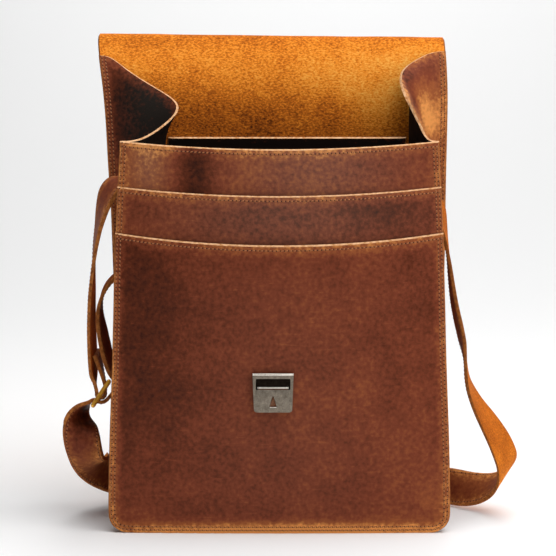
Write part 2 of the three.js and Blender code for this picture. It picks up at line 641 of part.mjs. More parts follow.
// Strap: a flat ribbon through stations that give its middle line and the way across it
function strap(stations) {
  const middles = stations.map((row) => new THREE.Vector3(row.x, row.y, row.z));
  const acrosses = stations.map((row) => new THREE.Vector3(row.ax, row.ay, row.az).normalize());
  const curve = new THREE.CatmullRomCurve3(middles, false, 'centripetal');
  const last = stations.length - 1;
  const points = [];
  const addSection = (station, t) => {
    const along = (station + t) / last;
    const middle = curve.getPoint(along);
    const tangent = curve.getTangent(along);
    const next = acrosses[Math.min(station + 1, last)];
    const across = acrosses[station].clone().lerp(next, t);
    across.addScaledVector(tangent, -across.dot(tangent)).setLength(STRAP_WIDTH / 2);
    const face = new THREE.Vector3().crossVectors(tangent, across).setLength(STRAP_HIDE / 2);
    for (const [a, f] of [[-1, -1], [1, -1], [1, 1], [-1, 1]]) {
      points.push(middle.clone().addScaledVector(across, a).addScaledVector(face, f));
    }
  };
  for (let station = 0; station < last; station += 1) {
    const length = middles[station].distanceTo(middles[station + 1]);
    const cells = Math.max(2, Math.ceil(length / STRAP_STEP));
    for (let k = 0; k < cells; k += 1) addSection(station, k / cells);
  }
  addSection(last, 0);
  const sections = points.length / 4;
  const triangles = [[0, 1, 2], [0, 2, 3]];
  for (let s = 0; s < sections - 1; s += 1) {
    for (let k = 0; k < 4; k += 1) {
      const [p, q] = [4 * s + k, 4 * s + ((k + 1) % 4)];
      triangles.push([p, p + 4, q + 4], [p, q + 4, q]);
    }
  }
  const end = 4 * (sections - 1);
  triangles.push([end, end + 2, end + 1], [end, end + 3, end + 2]);
  return closedGeometry(points, triangles);
}

// Buckle's own frame: along the strap, across it, and out of its face
const alongBuckle = BUCKLE_ALONG.clone().normalize();
const acrossBuckle = BUCKLE_ACROSS.clone()
  .addScaledVector(alongBuckle, -BUCKLE_ACROSS.dot(alongBuckle)).normalize();
const outOfBuckle = new THREE.Vector3().crossVectors(alongBuckle, acrossBuckle);

function buckleStation(along, out) {
  const point = BUCKLE_MIDDLE.clone()
    .addScaledVector(alongBuckle, along).addScaledVector(outOfBuckle, out);
  return { ...xyz(point), ax: acrossBuckle.x, ay: acrossBuckle.y, az: acrossBuckle.z };
}

function xyz(point) {
  return { x: point.x, y: point.y, z: point.z };
}

// Short strap: down to the buckle, round its middle bar and back up to its own stitching
function shortStrap() {
  const loop = BUCKLE_BAR + CLEARANCE + STRAP_HIDE / 2;
  const round = [-100, -145, 170, 125, 80, 40].map((degrees) => {
    const turn = THREE.MathUtils.degToRad(degrees);
    return buckleStation(loop * Math.cos(turn), loop * Math.sin(turn));
  });
  return strap([
    ...SHORT_STRAP_DROP,
    buckleStation(BUCKLE_DROP.along, BUCKLE_DROP.out),
    ...round,
    buckleStation(BUCKLE_RETURN.along, BUCKLE_RETURN.out),
    ...SHORT_STRAP_FOLD,
  ]);
}

// Long strap: tail, through the buckle under the short strap's loop, and round to the right gusset
function longStrap() {
  const over = BUCKLE_BAR + 3 * CLEARANCE + STRAP_HIDE / 2;
  const under = over + STRAP_HIDE;
  const round = [85, 122, 158, 194].map((degrees) => {
    const turn = THREE.MathUtils.degToRad(degrees);
    return buckleStation(under * Math.cos(turn), under * Math.sin(turn));
  });
  return strap([
    ...LONG_STRAP_TAIL,
    buckleStation(BUCKLE_REACH + BUCKLE_BAR, under),
    ...round,
    buckleStation(-BUCKLE_REACH, -over),
    ...LONG_STRAP_ROUND,
  ]);
}

// Buckle: a round-wire frame with a middle bar, soldered in one
function buckleFrame() {
  const bar = (length) => new THREE.CylinderGeometry(BUCKLE_BAR, BUCKLE_BAR, length, 10);
  const width = 2 * BUCKLE_HALF_WIDTH;
  const pieces = [];
  for (const along of [-BUCKLE_REACH, 0, BUCKLE_REACH]) {
    pieces.push(bar(width).translate(along, 0, 0));
  }
  for (const end of [-1, 1]) {
    pieces.push(bar(2 * BUCKLE_REACH).rotateZ(Math.PI / 2).translate(0, end * BUCKLE_HALF_WIDTH, 0));
    for (const along of [-1, 1]) {
      const knuckle = new THREE.SphereGeometry(BUCKLE_BAR * 1.04, 10, 6);
      pieces.push(knuckle.translate(along * BUCKLE_REACH, end * BUCKLE_HALF_WIDTH, 0));
    }
  }
  const placed = new THREE.Matrix4().makeBasis(alongBuckle, acrossBuckle, outOfBuckle);
  placed.setPosition(BUCKLE_MIDDLE);
  return joined(...pieces).applyMatrix4(placed);
}

// The assembly
const satchel = new THREE.Group();

function addPiece(name, geometry, finish, place = [0, 0, 0]) {
  const mesh = new THREE.Mesh(geometry, new THREE.MeshStandardMaterial(finish));
  mesh.name = name;
  mesh.position.set(...place);
  satchel.add(mesh);
}

addPiece('back_flap', backAndFlap(), SUEDE);
addPiece('gusset', gusset(), GRAIN);
addPiece('front_panel', frontTier(0, FRONT_TOP, FRONT_DIP, 13), GRAIN);
addPiece('middle_pocket', frontTier(1, MIDDLE_TOP, MIDDLE_DIP, 11), GRAIN);
addPiece('front_pocket', frontTier(2, POCKET_TOP, POCKET_DIP, 10), GRAIN);
addPiece('divider', divider(), GRAIN);

const lockPlace = [LOCK_ACROSS, lockSeat(), LOCK_HEIGHT];
addPiece('lock_plate', lockPlate(), NICKEL, lockPlace);
addPiece('lock_slide', lockSlide(), NICKEL, lockPlace);

const tongueSeat = flapPoint(0, FLAP_LENGTH - TONGUE_PLATE.tall).y + PANEL_HIDE / 2 + CLEARANCE;
const tonguePlace = [LOCK_ACROSS, tongueSeat, flapPoint(0, FLAP_LENGTH).z];
addPiece('lock_tongue', lockTongue(), NICKEL, tonguePlace);

addPiece('strap_short', shortStrap(), GRAIN);
addPiece('strap_long', longStrap(), GRAIN);
addPiece('buckle_frame', buckleFrame(), BRASS);

// Origin at the bottom centre of the whole satchel
const whole = new THREE.Box3().setFromObject(satchel, true);
const middle = whole.getCenter(new THREE.Vector3());
satchel.position.set(-middle.x, -middle.y, -whole.min.z);

export default satchel;
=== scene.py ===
# Leather satchel, standing open with its flap thrown back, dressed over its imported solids, in metres.
import math

import bmesh
import bpy
import numpy as np
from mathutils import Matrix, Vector
from mathutils.kdtree import KDTree


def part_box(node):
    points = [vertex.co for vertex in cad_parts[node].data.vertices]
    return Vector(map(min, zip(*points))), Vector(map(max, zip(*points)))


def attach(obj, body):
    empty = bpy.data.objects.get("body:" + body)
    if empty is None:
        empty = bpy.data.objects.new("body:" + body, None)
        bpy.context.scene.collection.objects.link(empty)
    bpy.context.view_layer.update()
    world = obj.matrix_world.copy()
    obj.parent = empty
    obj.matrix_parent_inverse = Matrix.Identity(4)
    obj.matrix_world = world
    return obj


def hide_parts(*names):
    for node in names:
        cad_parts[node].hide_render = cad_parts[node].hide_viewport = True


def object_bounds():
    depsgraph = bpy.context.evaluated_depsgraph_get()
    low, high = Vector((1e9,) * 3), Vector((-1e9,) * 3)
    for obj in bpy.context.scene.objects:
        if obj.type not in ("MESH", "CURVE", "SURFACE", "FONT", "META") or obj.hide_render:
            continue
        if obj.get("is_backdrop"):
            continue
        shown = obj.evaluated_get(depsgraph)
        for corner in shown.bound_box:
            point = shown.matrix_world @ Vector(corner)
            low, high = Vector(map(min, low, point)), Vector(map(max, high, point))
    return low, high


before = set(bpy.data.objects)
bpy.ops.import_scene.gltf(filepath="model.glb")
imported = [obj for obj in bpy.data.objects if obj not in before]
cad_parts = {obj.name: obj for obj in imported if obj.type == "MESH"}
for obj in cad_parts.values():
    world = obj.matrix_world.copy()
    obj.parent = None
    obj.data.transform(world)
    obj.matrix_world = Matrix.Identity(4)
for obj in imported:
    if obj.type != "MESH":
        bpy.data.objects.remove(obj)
cad_box = [list(corner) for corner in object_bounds()]
MM = 0.001

# Camera
# It stands where the photo was taken from: in front of the bag and a little above it, with a long lens.
# It aims at a place just in front of the divider, close to the front panel's middle line.
VIEW_TILT = 6.5
VIEW_DISTANCE = 1600 * MM
VIEW_HEIGHT = 218.07 * MM
VIEW_LEFT = 1.14 * MM
LENS = 116.33
SENSOR = 36
FAR_CLIP = 20
DIVIDER_DEPTH = 6 * MM

front_low, front_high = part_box("front_panel")
divider_low, divider_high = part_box("divider")
bag_x = (front_low.x + front_high.x) / 2
bag_y = (divider_low.y + divider_high.y) / 2 - DIVIDER_DEPTH
view_target = Vector((bag_x - VIEW_LEFT, bag_y, VIEW_HEIGHT))
tilt = math.radians(VIEW_TILT)
bpy.ops.object.camera_add(
    location=view_target + VIEW_DISTANCE * Vector((0, -math.cos(tilt), math.sin(tilt))),
    rotation=(math.pi / 2 - tilt, 0, 0),
)
camera = bpy.context.object
camera.data.lens = LENS
camera.data.sensor_width = SENSOR
camera.data.clip_end = FAR_CLIP
bpy.context.scene.camera = camera

# Studio floor and light
# A pale paper sweep runs under the bag and rises slowly far behind it. A large soft light hangs overhead, a
# second one stands to the front right, so the left folds lie in shade, and a third one lights the paper.
PAPER = "fafafa"
SWEEP_HALF = 6
SWEEP_BEHIND = 5.4
SWEEP_TALL = 6
SWEEP_ROUND = 4.2
SWEEP_SEGMENTS = 32
ROOM_LIGHT = 0.17

# Each soft box's name, place, aim, size and power
SOFT_BOXES = [
    ("overhead soft box", (0.5, -0.35, 2.2), (0, 0, 0.2), 2.2, 56),
    ("front right soft box", (1.9, -1.2, 1.1), (0, 0, 0.22), 1.0, 9),
    ("paper soft box", (0.2, 3.2, 2.8), (0.2, 3.2, 0), 2.4, 48),
]


def linear(code):
    """Linear colour of an sRGB hex value."""
    parts = [int(code[k:k + 2], 16) / 255 for k in (0, 2, 4)]
    return [c / 12.92 if c <= 0.04045 else ((c + 0.055) / 1.055) ** 2.4 for c in parts] + [1]


def node(tree, kind, links=(), **settings):
    """A new node with its settings, and with its sockets set or linked, by name or number."""
    made = tree.nodes.new("ShaderNode" + kind)
    for key, value in settings.items():
        setattr(made, key, value)
    for socket, value in links:
        if isinstance(value, bpy.types.NodeSocket):
            tree.links.new(value, made.inputs[socket])
        else:
            made.inputs[socket].default_value = value
    return made


def new_material(name):
    """An empty material with its shader, and the shader's tree."""
    material = bpy.data.materials.new(name)
    material.use_nodes = True
    return material, material.node_tree, material.node_tree.nodes["Principled BSDF"]


bpy.ops.object.select_all(action="DESELECT")
bpy.ops.mesh.primitive_plane_add(size=2 * SWEEP_HALF, location=(0, SWEEP_BEHIND - SWEEP_HALF, 0))
sweep = bpy.context.object
sweep.name = "paper_sweep"
bpy.ops.object.transform_apply(location=True)
bpy.ops.object.mode_set(mode="EDIT")
bpy.ops.mesh.select_mode(type="EDGE")
bpy.ops.mesh.select_all(action="DESELECT")
bpy.ops.object.mode_set(mode="OBJECT")
for edge in sweep.data.edges:
    edge.select = all(sweep.data.vertices[v].co.y > SWEEP_BEHIND - MM for v in edge.vertices)
bpy.ops.object.mode_set(mode="EDIT")
bpy.ops.mesh.extrude_region_move(TRANSFORM_OT_translate={"value": (0, 0, SWEEP_TALL)})
bpy.ops.mesh.select_all(action="DESELECT")
bpy.ops.object.mode_set(mode="OBJECT")
for edge in sweep.data.edges:
    ends = [sweep.data.vertices[v].co for v in edge.vertices]
    edge.select = all(abs(p.y - SWEEP_BEHIND) < MM and p.z < MM for p in ends)
bpy.ops.object.mode_set(mode="EDIT")
bpy.ops.mesh.bevel(offset=SWEEP_ROUND, segments=SWEEP_SEGMENTS)
bpy.ops.object.mode_set(mode="OBJECT")
bpy.ops.object.shade_smooth()
paper, tree, shader = new_material("matt studio paper")
shader.inputs["Base Color"].default_value = linear(PAPER)
shader.inputs["Roughness"].default_value = 0.95
sweep.data.materials.append(paper)
sweep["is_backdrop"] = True

for name, place, aim, size, power in SOFT_BOXES:
    bpy.ops.object.light_add(type="AREA", location=place)
    light = bpy.context.object
    light.name = name
    light.rotation_euler = (Vector(aim) - Vector(place)).to_track_quat("-Z", "Y").to_euler()
    light.data.size = size
    light.data.energy = power
world = bpy.data.worlds.new("white room")
bpy.context.scene.world = world
world.use_nodes = True
world.node_tree.nodes["Background"].inputs["Color"].default_value = (1, 1, 1, 1)
world.node_tree.nodes["Background"].inputs["Strength"].default_value = ROOM_LIGHT
bpy.context.scene.view_settings.view_transform = "Standard"

# Back panel and flap
# One hide of oiled cowhide forms the back and folds over the top ridge into the flap, which hangs behind.
# Its flesh side, a fibrous orange suede, faces the inside of the bag, and its edges are burnished.
HIDE_THICK = 2 * MM
WELD = 0.01 * MM
RIM_MATCH = 0.002 * MM
SEED_FACING = 0.6
SMOOTH_BEND = 60
QUAD_EASE = 10
PANEL_LEVELS = 3
RIM_SLOT = 2
BURNISHED_SLOT = 3
RIM_TURN = math.radians(60)
SHADE_TURN = math.radians(50)
CUT_ROUND = 0.35 * MM
CUT_SLANT = 1.3 * MM
RAW_EDGE = 0.35
GRAIN_BLACK = "120704"
GRAIN_DARK = "3a170a"
GRAIN_DEEP = "5c2813"
GRAIN_BODY = "7e3c24"
GRAIN_LIGHT = "9c572e"
GRAIN_PALE = "e3964f"
# Grey of the veil that tint lays on the leather: partly wax bloom, partly painted sheen
BLOOM_AND_SHEEN_GREY = "8a8478"
SUEDE_BLACK = "170a03"
SUEDE_DARK = "8c440f"
SUEDE_DEEP = "cc6c1a"
SUEDE_BODY = "f49129"
SUEDE_PALE = "ffb854"

# Patterns of the hide, in mm. The pores and the nap are drawn coarser than real ones, so that they show.
BLOTCH_WIDE = 30
MOTTLE_WIDE = 3.5
SCRATCH_WIDE = 2.2
PORE_WIDE = 1.1
FIBRE_WIDE = 1.4
CLOUD_WIDE = 28
LAYER_WIDE = 3
WORN_FROM = 1
WORN_TO = 11

# How far each pattern moves the leather's tone, which runs from 0, black, to 1, pale. The mottling's growth
# with the grey veil of wax bloom and painted sheen is given as a factor.
BLOTCH_TONE = (0.4, 0.57)
MOTTLE_TONE = 0.12
BLOOM_AND_SHEEN_MOTTLE = 6
SCRATCH_TONE = 0.1
WORN_TONE = 0.52
CLOUD_TONE = 0.08


def per_mm(size):
    """Pattern scale whose cells are this many millimetres wide."""
    return 1000 / size


def select_only(piece):
    """A piece becomes the only one selected, and active."""
    bpy.ops.object.select_all(action="DESELECT")
    piece.select_set(True)
    bpy.context.view_layer.objects.active = piece


def merged_copy(name, part, weld=WELD):
    """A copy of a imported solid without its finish, with the corners of its loose triangles merged."""
    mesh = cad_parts[part].data.copy()
    mesh.materials.clear()
    piece = bpy.data.objects.new(name, mesh)
    bpy.context.scene.collection.objects.link(piece)
    select_only(piece)
    bpy.ops.mesh.customdata_custom_splitnormals_clear()
    bpy.ops.object.mode_set(mode="EDIT")
    bpy.ops.mesh.select_mode(type="FACE")
    bpy.ops.mesh.select_all(action="SELECT")
    bpy.ops.mesh.remove_doubles(threshold=weld)
    bpy.ops.mesh.select_all(action="DESELECT")
    bpy.ops.object.mode_set(mode="OBJECT")
    return piece


def one_side(name, part, seeds, bend=SMOOTH_BEND, rim=0):
    """One side of a packed leather wall as an open sheet of quads: the smooth run of faces around each seed,
    which is a place on that side and the way that it faces there. Faces with a side as long as rim, the
    thickness of a strap, are left off."""
    piece = merged_copy(name, part)
    corners = piece.data.vertices
    for face in piece.data.polygons:
        sides = [(corners[a].co - corners[b].co).length for a, b in face.edge_keys]
        face.select = any(abs(side - rim) < RIM_MATCH for side in sides)
    bpy.ops.object.mode_set(mode="EDIT")
    bpy.ops.mesh.delete(type="FACE")
    bpy.ops.object.mode_set(mode="OBJECT")
    for spot, facing in seeds:
        faces = [f for f in piece.data.polygons if f.normal.dot(Vector(facing)) > SEED_FACING]
        min(faces, key=lambda f: (f.center - Vector(spot)).length).select = True
    bpy.ops.object.mode_set(mode="EDIT")
    bpy.ops.mesh.faces_select_linked_flat(sharpness=math.radians(bend))
    bpy.ops.mesh.select_all(action="INVERT")
    bpy.ops.mesh.delete(type="FACE")
    bpy.ops.mesh.select_all(action="SELECT")
    join = math.radians(min(bend + QUAD_EASE, 180))
    bpy.ops.mesh.tris_convert_to_quads(face_threshold=join, shape_threshold=join)
    bpy.ops.object.mode_set(mode="OBJECT")
    return piece


def modify(piece, kind, **settings):
    """A modifier with its settings, applied at once."""
    select_only(piece)
    bpy.ops.object.modifier_add(type=kind)
    modifier = piece.modifiers[-1]
    for key, value in settings.items():
        setattr(modifier, key, value)
    bpy.ops.object.modifier_apply(modifier=modifier.name)


def smooth(piece, levels=PANEL_LEVELS):
    """Finer quads on a smooth surface through the sheet."""
    modify(piece, "SUBSURF", levels=levels, render_levels=levels, boundary_smooth="PRESERVE_CORNERS")


def ripple(piece, wide, high):
    """Slow, shallow waves over a sheet, as worn leather has."""
    waves = bpy.data.textures.new(piece.name + "_waves", "CLOUDS")
    waves.noise_scale = wide * MM
    waves.noise_depth = 1
    modify(piece, "DISPLACE", texture=waves, strength=high * MM, mid_level=0.5, texture_coords="LOCAL")


def thicken(piece, thick, materials, turned=None):
    """Thickness behind a sheet, with round cut edges. The materials are its face, its back, its upper cut
    edges and its burnished other edges. The knife leaned, so each cut edge also shows from the face side,
    or from the back where turned(place) says so."""
    for material in materials:
        piece.data.materials.append(material)
    face_points = len(piece.data.vertices)
    modify(
        piece, "SOLIDIFY", thickness=thick, offset=-1, use_even_offset=True, use_quality_normals=True,
        material_offset=1, material_offset_rim=RIM_SLOT,
    )
    rim = set()
    inward = {}
    for face in piece.data.polygons:
        if face.material_index == RIM_SLOT:
            rim.update(face.vertices)
            if face.normal.z < RAW_EDGE:
                face.material_index = BURNISHED_SLOT
        else:
            for v in face.vertices:
                inward.setdefault(v, []).append(face.center - piece.data.vertices[v].co)
    for v in rim:
        corner = piece.data.vertices[v]
        from_back = turned is not None and turned(corner.co)
        if (v >= face_points) == from_back:
            corner.co += CUT_SLANT * sum(inward[v], Vector()).normalized()
    rim_places = KDTree(len(rim))
    for v in rim:
        rim_places.insert(piece.data.vertices[v].co, v)
    rim_places.balance()
    from_edge = piece.data.attributes.new("edge_mm", "FLOAT", "POINT")
    from_edge.data.foreach_set("value", [rim_places.find(v.co)[2] / MM for v in piece.data.vertices])
    modify(
        piece, "BEVEL", width=CUT_ROUND, segments=2, limit_method="ANGLE", angle_limit=RIM_TURN,
        use_clamp_overlap=True,
    )
    bpy.ops.object.shade_smooth_by_angle(angle=SHADE_TURN)


def grain_leather():
    """Oiled pull-up cowhide, grain side: a waxy brown that turns lighter where it is bent, rubbed or
    scratched, with slow blotches, fine mottling and pores, a soft gloss, and in places a grey veil that is
    partly wax bloom and partly painted sheen. The mottling is stronger in that veil."""
    material, tree, shader = new_material("oiled pull-up cowhide")
    place = node(tree, "TexCoord").outputs["Object"]
    blotch = node(tree, "TexNoise", [("Vector", place), ("Scale", per_mm(BLOTCH_WIDE)), ("Detail", 4.0)])
    mottle = node(tree, "TexNoise", [("Vector", place), ("Scale", per_mm(MOTTLE_WIDE)), ("Detail", 6.0)])
    tone = node(tree, "Attribute", attribute_name="tone").outputs["Fac"]
    edge = node(tree, "Attribute", attribute_name="edge_mm").outputs["Fac"]
    bloom_and_sheen = node(tree, "Attribute", attribute_name="bloom_and_sheen").outputs["Fac"]
    worn = node(tree, "MapRange", [
        ("Value", edge), ("From Min", WORN_FROM), ("From Max", WORN_TO),
        ("To Min", WORN_TONE), ("To Max", 0.0)])
    worn_part = node(
        tree, "Math", [(0, worn.outputs["Result"]), (1, mottle.outputs["Fac"])], operation="MULTIPLY")
    slow = node(tree, "MapRange", [
        ("Value", blotch.outputs["Fac"]), ("From Min", 0.25), ("From Max", 0.75),
        ("To Min", BLOTCH_TONE[0]), ("To Max", BLOTCH_TONE[1])])
    fine = node(tree, "MapRange", [
        ("Value", mottle.outputs["Fac"]), ("From Min", 0.25), ("From Max", 0.75),
        ("To Min", -MOTTLE_TONE), ("To Max", MOTTLE_TONE)])
    lively = node(tree, "Math", [(0, bloom_and_sheen), (1, BLOOM_AND_SHEEN_MOTTLE), (2, 1.0)], operation="MULTIPLY_ADD")
    mottled = node(
        tree, "Math", [(0, fine.outputs["Result"]), (1, lively.outputs[0])], operation="MULTIPLY")
    streaked = node(tree, "Mapping", [
        ("Vector", place), ("Rotation", (0.0, 0.5, 0.0)), ("Scale", (0.12, 1.0, 1.0))])
    scratch = node(tree, "TexNoise", [
        ("Vector", streaked.outputs["Vector"]), ("Scale", per_mm(SCRATCH_WIDE)), ("Detail", 3.0)])
    scratched = node(tree, "MapRange", [
        ("Value", scratch.outputs["Fac"]), ("From Min", 0.62), ("From Max", 0.74),
        ("To Min", 0.0), ("To Max", SCRATCH_TONE)])
    total = slow.outputs["Result"]
    for part in (mottled.outputs[0], scratched.outputs["Result"], worn_part.outputs[0], tone):
        total = node(tree, "Math", [(0, total), (1, part)], operation="ADD").outputs[0]
    ramp = node(tree, "ValToRGB", [("Fac", total)])
    ramp.color_ramp.elements[0].position = 0.0
    ramp.color_ramp.elements[0].color = linear(GRAIN_BLACK)
    ramp.color_ramp.elements[1].position = 1.0
    ramp.color_ramp.elements[1].color = linear(GRAIN_PALE)
    for position, code in ((0.12, GRAIN_DARK), (0.3, GRAIN_DEEP), (0.5, GRAIN_BODY), (0.72, GRAIN_LIGHT)):
        ramp.color_ramp.elements.new(position).color = linear(code)
    with_bloom_and_sheen = node(
        tree, "Mix", [(0, bloom_and_sheen), (6, ramp.outputs["Color"]), (7, linear(BLOOM_AND_SHEEN_GREY))], data_type="RGBA")
    gloss = node(tree, "MapRange", [
        ("Value", total), ("From Min", 0.2), ("From Max", 0.9), ("To Min", 0.46), ("To Max", 0.66)])
    pores = node(tree, "TexVoronoi", [("Vector", place), ("Scale", per_mm(PORE_WIDE))])
    relief = node(tree, "Math", [(0, pores.outputs["Distance"]), (1, mottle.outputs["Fac"])], operation="ADD")
    bump = node(tree, "Bump", [("Strength", 0.22), ("Distance", 0.3 * MM), ("Height", relief.outputs[0])])
    tree.links.new(with_bloom_and_sheen.outputs[2], shader.inputs["Base Color"])
    tree.links.new(gloss.outputs["Result"], shader.inputs["Roughness"])
    tree.links.new(bump.outputs["Normal"], shader.inputs["Normal"])
    shader.inputs["Specular IOR Level"].default_value = 0.11
    return material


def suede_leather(name, level, depth):
    """Flesh side of the hide: a short matt nap in orange tan, with loose fibres and small pits. Its level,
    from 0 to 1, tells how pale the nap is, and its depth how much it changes between pits and fibres."""
    material, tree, shader = new_material(name)
    place = node(tree, "TexCoord").outputs["Object"]
    drawn = node(tree, "Mapping", [("Vector", place), ("Scale", (0.6, 1.0, 1.0))])
    nap = node(tree, "TexNoise", [
        ("Vector", drawn.outputs["Vector"]), ("Scale", per_mm(FIBRE_WIDE)), ("Detail", 6.0),
        ("Roughness", 0.6)])
    cloud = node(tree, "TexNoise", [("Vector", place), ("Scale", per_mm(CLOUD_WIDE)), ("Detail", 4.0)])
    tone = node(tree, "Attribute", attribute_name="tone").outputs["Fac"]
    fine = node(tree, "MapRange", [
        ("Value", nap.outputs["Fac"]), ("From Min", 0.3), ("From Max", 0.7),
        ("To Min", level - depth), ("To Max", level + depth)])
    slow = node(tree, "MapRange", [
        ("Value", cloud.outputs["Fac"]), ("From Min", 0.3), ("From Max", 0.7),
        ("To Min", -CLOUD_TONE), ("To Max", CLOUD_TONE)])
    total = fine.outputs["Result"]
    for part in (slow.outputs["Result"], tone):
        total = node(tree, "Math", [(0, total), (1, part)], operation="ADD").outputs[0]
    ramp = node(tree, "ValToRGB", [("Fac", total)])
    ramp.color_ramp.elements[0].position = 0.0
    ramp.color_ramp.elements[0].color = linear(SUEDE_BLACK)
    ramp.color_ramp.elements[1].position = 0.85
    ramp.color_ramp.elements[1].color = linear(SUEDE_PALE)
    for position, code in ((0.16, SUEDE_DARK), (0.38, SUEDE_DEEP), (0.56, SUEDE_BODY)):
        ramp.color_ramp.elements.new(position).color = linear(code)
    bump = node(tree, "Bump", [("Strength", 0.6), ("Distance", 0.8 * MM), ("Height", nap.outputs["Fac"])])
    tree.links.new(ramp.outputs["Color"], shader.inputs["Base Color"])
    tree.links.new(bump.outputs["Normal"], shader.inputs["Normal"])
    shader.inputs["Roughness"].default_value = 0.95
    shader.inputs["Specular IOR Level"].default_value = 0.14
    return material


def bare_fibres(name, deep, pale):
    """Bare fibres of the hide, packed in layers on a cut edge, or laid flat on a flesh side painted near
    black as deep shade, a little darker where they are soiled."""
    material, tree, shader = new_material(name)
    place = node(tree, "TexCoord").outputs["Object"]
    fibres = node(tree, "TexNoise", [("Vector", place), ("Scale", per_mm(LAYER_WIDE)), ("Detail", 5.0)])
    ramp = node(tree, "ValToRGB", [("Fac", fibres.outputs["Fac"])])
    ramp.color_ramp.elements[0].position = 0.3
    ramp.color_ramp.elements[0].color = linear(deep)
    ramp.color_ramp.elements[1].position = 0.6
    ramp.color_ramp.elements[1].color = linear(pale)
    bump = node(tree, "Bump", [("Strength", 0.2), ("Distance", 0.2 * MM), ("Height", fibres.outputs["Fac"])])
    tree.links.new(ramp.outputs["Color"], shader.inputs["Base Color"])
    tree.links.new(bump.outputs["Normal"], shader.inputs["Normal"])
    shader.inputs["Roughness"].default_value = 0.85
    shader.inputs["Specular IOR Level"].default_value = 0.12
    return material


GRAIN = grain_leather()
SUEDE = suede_leather("cowhide flesh side suede", level=0.54, depth=0.26)
CUT = bare_fibres("raw cut cowhide edge", "b87a48", "e8b98c")
BURNISHED = bare_fibres("burnished cowhide edge", "7c4520", "b87238")

# Seams of the bag. The stitches are drawn a little coarser than real ones, so that they show.
STITCH_PITCH = 3.5 * MM
STITCH = (2.5 * MM, 1.3 * MM, 0.8 * MM)
STITCH_HOLE = (1.0 * MM, 1.7 * MM, 0.2 * MM)
STITCH_SLANT = math.radians(25)
SEAM_INSETS = (2.8 * MM, 5.8 * MM)
THREAD_DEEP = "8c4a22"
THREAD_PALE = "b47440"
HOLE_SHADE = "40200f"
TWIST_WIDE = 0.8
HOLE_WIDE = 0.5
BEAD_SIDES = 6
BEAD_RINGS = 4


def waxed_thread():
    """Waxed linen thread: a dull brown twist, slightly lighter than the leather."""
    material, tree, shader = new_material("waxed linen thread")
    place = node(tree, "TexCoord").outputs["Object"]
    twist = node(tree, "TexNoise", [("Vector", place), ("Scale", per_mm(TWIST_WIDE)), ("Detail", 2.0)])
    ramp = node(tree, "ValToRGB", [("Fac", twist.outputs["Fac"])])
    ramp.color_ramp.elements[0].color = linear(THREAD_DEEP)
    ramp.color_ramp.elements[1].color = linear(THREAD_PALE)
    tree.links.new(ramp.outputs["Color"], shader.inputs["Base Color"])
    shader.inputs["Roughness"].default_value = 0.6
    return material


def awl_hole():
    """Inside of the holes that the awl left between the stitches: soft leather in deep shade."""
    material, tree, shader = new_material("awl hole in cowhide")
    place = node(tree, "TexCoord").outputs["Object"]
    rough = node(tree, "TexNoise", [("Vector", place), ("Scale", per_mm(HOLE_WIDE))])
    ramp = node(tree, "ValToRGB", [("Fac", rough.outputs["Fac"])])
    ramp.color_ramp.elements[0].color = linear(HOLE_SHADE)
    ramp.color_ramp.elements[1].color = linear(GRAIN_DARK)
    tree.links.new(ramp.outputs["Color"], shader.inputs["Base Color"])
    shader.inputs["Roughness"].default_value = 0.9
    return material


THREAD = waxed_thread()
HOLE = awl_hole()

bpy.ops.object.select_all(action="DESELECT")
bpy.ops.mesh.primitive_uv_sphere_add(segments=BEAD_SIDES, ring_count=BEAD_RINGS, radius=0.5)
bead = bpy.context.object
bead_points = np.array([v.co for v in bead.data.vertices])
bead_faces = [list(face.vertices) for face in bead.data.polygons]
bpy.data.objects.remove(bead)


def cut_line(sheet):
    """The cut edge of an open sheet in order: each place with the way into the sheet and the way it faces."""
    shape = bmesh.new()
    shape.from_mesh(sheet.data)
    edge = next(e for e in shape.edges if e.is_boundary)
    first = edge.verts[0]
    corner = first
    line = []
    while True:
        following = edge.other_vert(corner)
        face = edge.link_faces[0]
        middle = (corner.co + following.co) / 2
        along = (following.co - corner.co).normalized()
        inward = face.calc_center_median() - middle
        inward = (inward - along * inward.dot(along)).normalized()
        line.append((middle, inward, face.normal.copy()))
        corner = following
        if corner == first:
            break
        edge = next(e for e in corner.link_edges if e.is_boundary and e != edge)
    shape.free()
    return line


def stretches(line, keeps):
    """Unbroken stretches of a closed cut line whose places and inward ways keeps(place, inward) picks."""
    kept = [keeps(place, inward) for place, inward, facing in line]
    start = kept.index(False)
    found = [[]]
    for k in range(start, start + len(line)):
        if kept[k % len(line)]:
            found[-1].append(line[k % len(line)])
        elif found[-1]:
            found.append([])
    return [stretch for stretch in found if len(stretch) > 2]


